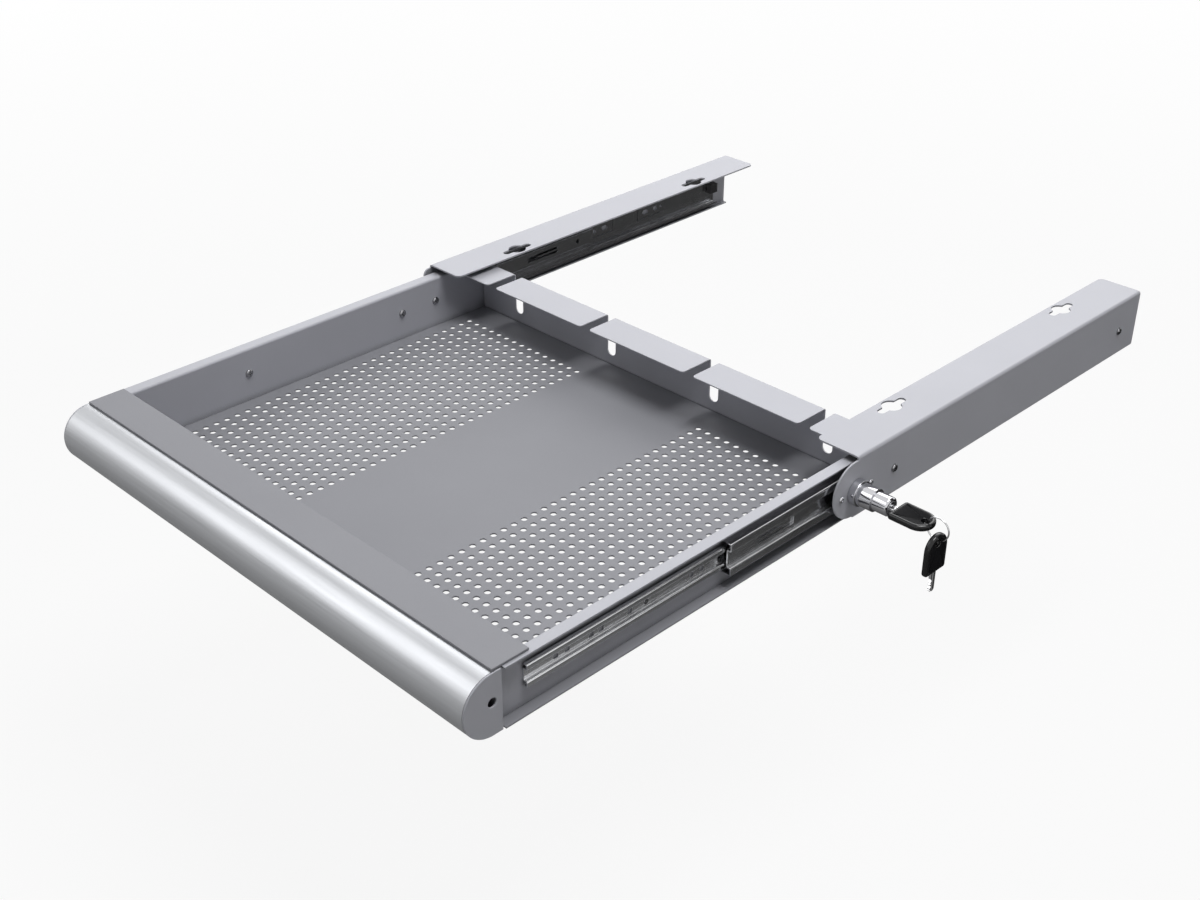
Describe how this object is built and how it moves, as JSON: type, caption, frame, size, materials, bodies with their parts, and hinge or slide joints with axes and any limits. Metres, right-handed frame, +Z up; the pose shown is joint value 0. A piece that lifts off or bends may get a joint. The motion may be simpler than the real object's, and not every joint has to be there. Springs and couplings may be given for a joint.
{
  "type": "laptop security drawer",
  "caption": "Lockable under-desk laptop drawer: perforated grey steel tray with a half-round handle, on ball slides between two desk brackets, with a push lock and keys.",
  "frame": {"origin": "midway between the four desk keyholes, in the plane of the brackets' top faces, which meet the underside of the desk", "axes": "+Z up into the desk, -Y towards the handle and the user, +X to the user's right, where the lock is; the rest pose is the drawer pulled out"},
  "size_m": [0.5619, 0.7695, 0.0806],
  "materials": {
    "tray_steel": "satin grey powder coat",
    "cover_steel": "matt dark grey powder coat",
    "handle_aluminium": "satin anodised",
    "slide_steel": "zinc plated",
    "screw_steel": "zinc plated",
    "ball_steel": "polished",
    "bumper_rubber": "matt",
    "lock_chrome": "polished",
    "spring_steel": "drawn wire",
    "plug_steel": "turned",
    "key_steel": "nickel plated",
    "key_plastic": "moulded black"
  },
  "bodies": {
    "brackets": {"bracket_left": "tray_steel", "bracket_right": "tray_steel", "bracket_screws": "screw_steel", "outer_slide_left": "slide_steel", "outer_slide_right": "slide_steel", "rear_bumper_left": "bumper_rubber", "rear_bumper_right": "bumper_rubber", "lock_housing": "lock_chrome", "lock_collar": "lock_chrome", "lock_screws": "lock_chrome", "lock_spring": "spring_steel"},
    "drawer": {"drawer_floor": "tray_steel", "side_wall_left": "tray_steel", "side_wall_right": "tray_steel", "front_wall": "tray_steel", "rear_wall": "tray_steel", "handle_bar": "handle_aluminium", "end_cap_left": "tray_steel", "end_cap_right": "tray_steel", "cover_strip": "cover_steel", "handle_screws": "screw_steel", "inner_slide_left": "slide_steel", "inner_slide_right": "slide_steel", "slide_screws": "screw_steel"},
    "lock_plunger": {"lock_plunger": "lock_chrome"},
    "lock_plug": {"lock_plug": "plug_steel"},
    "key": {"key_blade": "key_steel", "key_head": "key_plastic"},
    "key_ring": {"key_ring": "key_steel"},
    "spare_key": {"spare_key_blade": "key_steel", "spare_key_head": "key_plastic"},
    "middle_slide_left": {"middle_slide_left": "slide_steel"},
    "outer_cage_left": {"outer_cage_left": "slide_steel", "outer_balls_left": "ball_steel"},
    "inner_cage_left": {"inner_cage_left": "slide_steel", "inner_balls_left": "ball_steel"},
    "middle_slide_right": {"middle_slide_right": "slide_steel"},
    "outer_cage_right": {"outer_cage_right": "slide_steel", "outer_balls_right": "ball_steel"},
    "inner_cage_right": {"inner_cage_right": "slide_steel", "inner_balls_right": "ball_steel"}
  },
  "joints": [
    {"name": "drawer_slide", "type": "slide", "parent": "brackets", "child": "drawer", "axis": [0, 1, 0], "range_m": [0, 0.346]},
    {"name": "middle_slide_left_travel", "type": "slide", "parent": "brackets", "child": "middle_slide_left", "axis": [0, 1, 0], "range_m": [0, 0.173]},
    {"name": "outer_cage_left_travel", "type": "slide", "parent": "brackets", "child": "outer_cage_left", "axis": [0, 1, 0], "range_m": [0, 0.0865]},
    {"name": "inner_cage_left_travel", "type": "slide", "parent": "brackets", "child": "inner_cage_left", "axis": [0, 1, 0], "range_m": [0, 0.2595]},
    {"name": "middle_slide_right_travel", "type": "slide", "parent": "brackets", "child": "middle_slide_right", "axis": [0, 1, 0], "range_m": [0, 0.173]},
    {"name": "outer_cage_right_travel", "type": "slide", "parent": "brackets", "child": "outer_cage_right", "axis": [0, 1, 0], "range_m": [0, 0.0865]},
    {"name": "inner_cage_right_travel", "type": "slide", "parent": "brackets", "child": "inner_cage_right", "axis": [0, 1, 0], "range_m": [0, 0.2595]},
    {"name": "lock_push", "type": "slide", "parent": "brackets", "child": "lock_plunger", "axis": [-1, 0, 0], "range_m": [0, 0.013], "stiffness_N_per_m": 150, "springref_m": -0.006, "deforming": ["lock_spring"]},
    {"name": "key_turn", "type": "hinge", "parent": "lock_plunger", "child": "lock_plug", "pos_m": [0.2715, -0.1995, -0.0282], "axis": [1, 0, 0], "range_deg": [0, 90]},
    {"name": "key_draw", "type": "slide", "parent": "lock_plug", "child": "key", "axis": [1, 0, 0], "range_m": [0, 0.016]},
    {"name": "ring_swing", "type": "hinge", "parent": "key", "child": "key_ring", "pos_m": [0.302, -0.1995, -0.0282], "axis": [0, 0, 1], "range_deg": [-60, 60]},
    {"name": "spare_key_swing", "type": "hinge", "parent": "key_ring", "child": "spare_key", "pos_m": [0.311, -0.1995, -0.03702], "axis": [1, 0, 0], "range_deg": [-30, 30]}
  ],
  "couplings": [
    {"joint": "middle_slide_left_travel", "follows": "drawer_slide", "ratio": 0.5},
    {"joint": "outer_cage_left_travel", "follows": "drawer_slide", "ratio": 0.25},
    {"joint": "inner_cage_left_travel", "follows": "drawer_slide", "ratio": 0.75},
    {"joint": "middle_slide_right_travel", "follows": "drawer_slide", "ratio": 0.5},
    {"joint": "outer_cage_right_travel", "follows": "drawer_slide", "ratio": 0.25},
    {"joint": "inner_cage_right_travel", "follows": "drawer_slide", "ratio": 0.75}
  ]
}
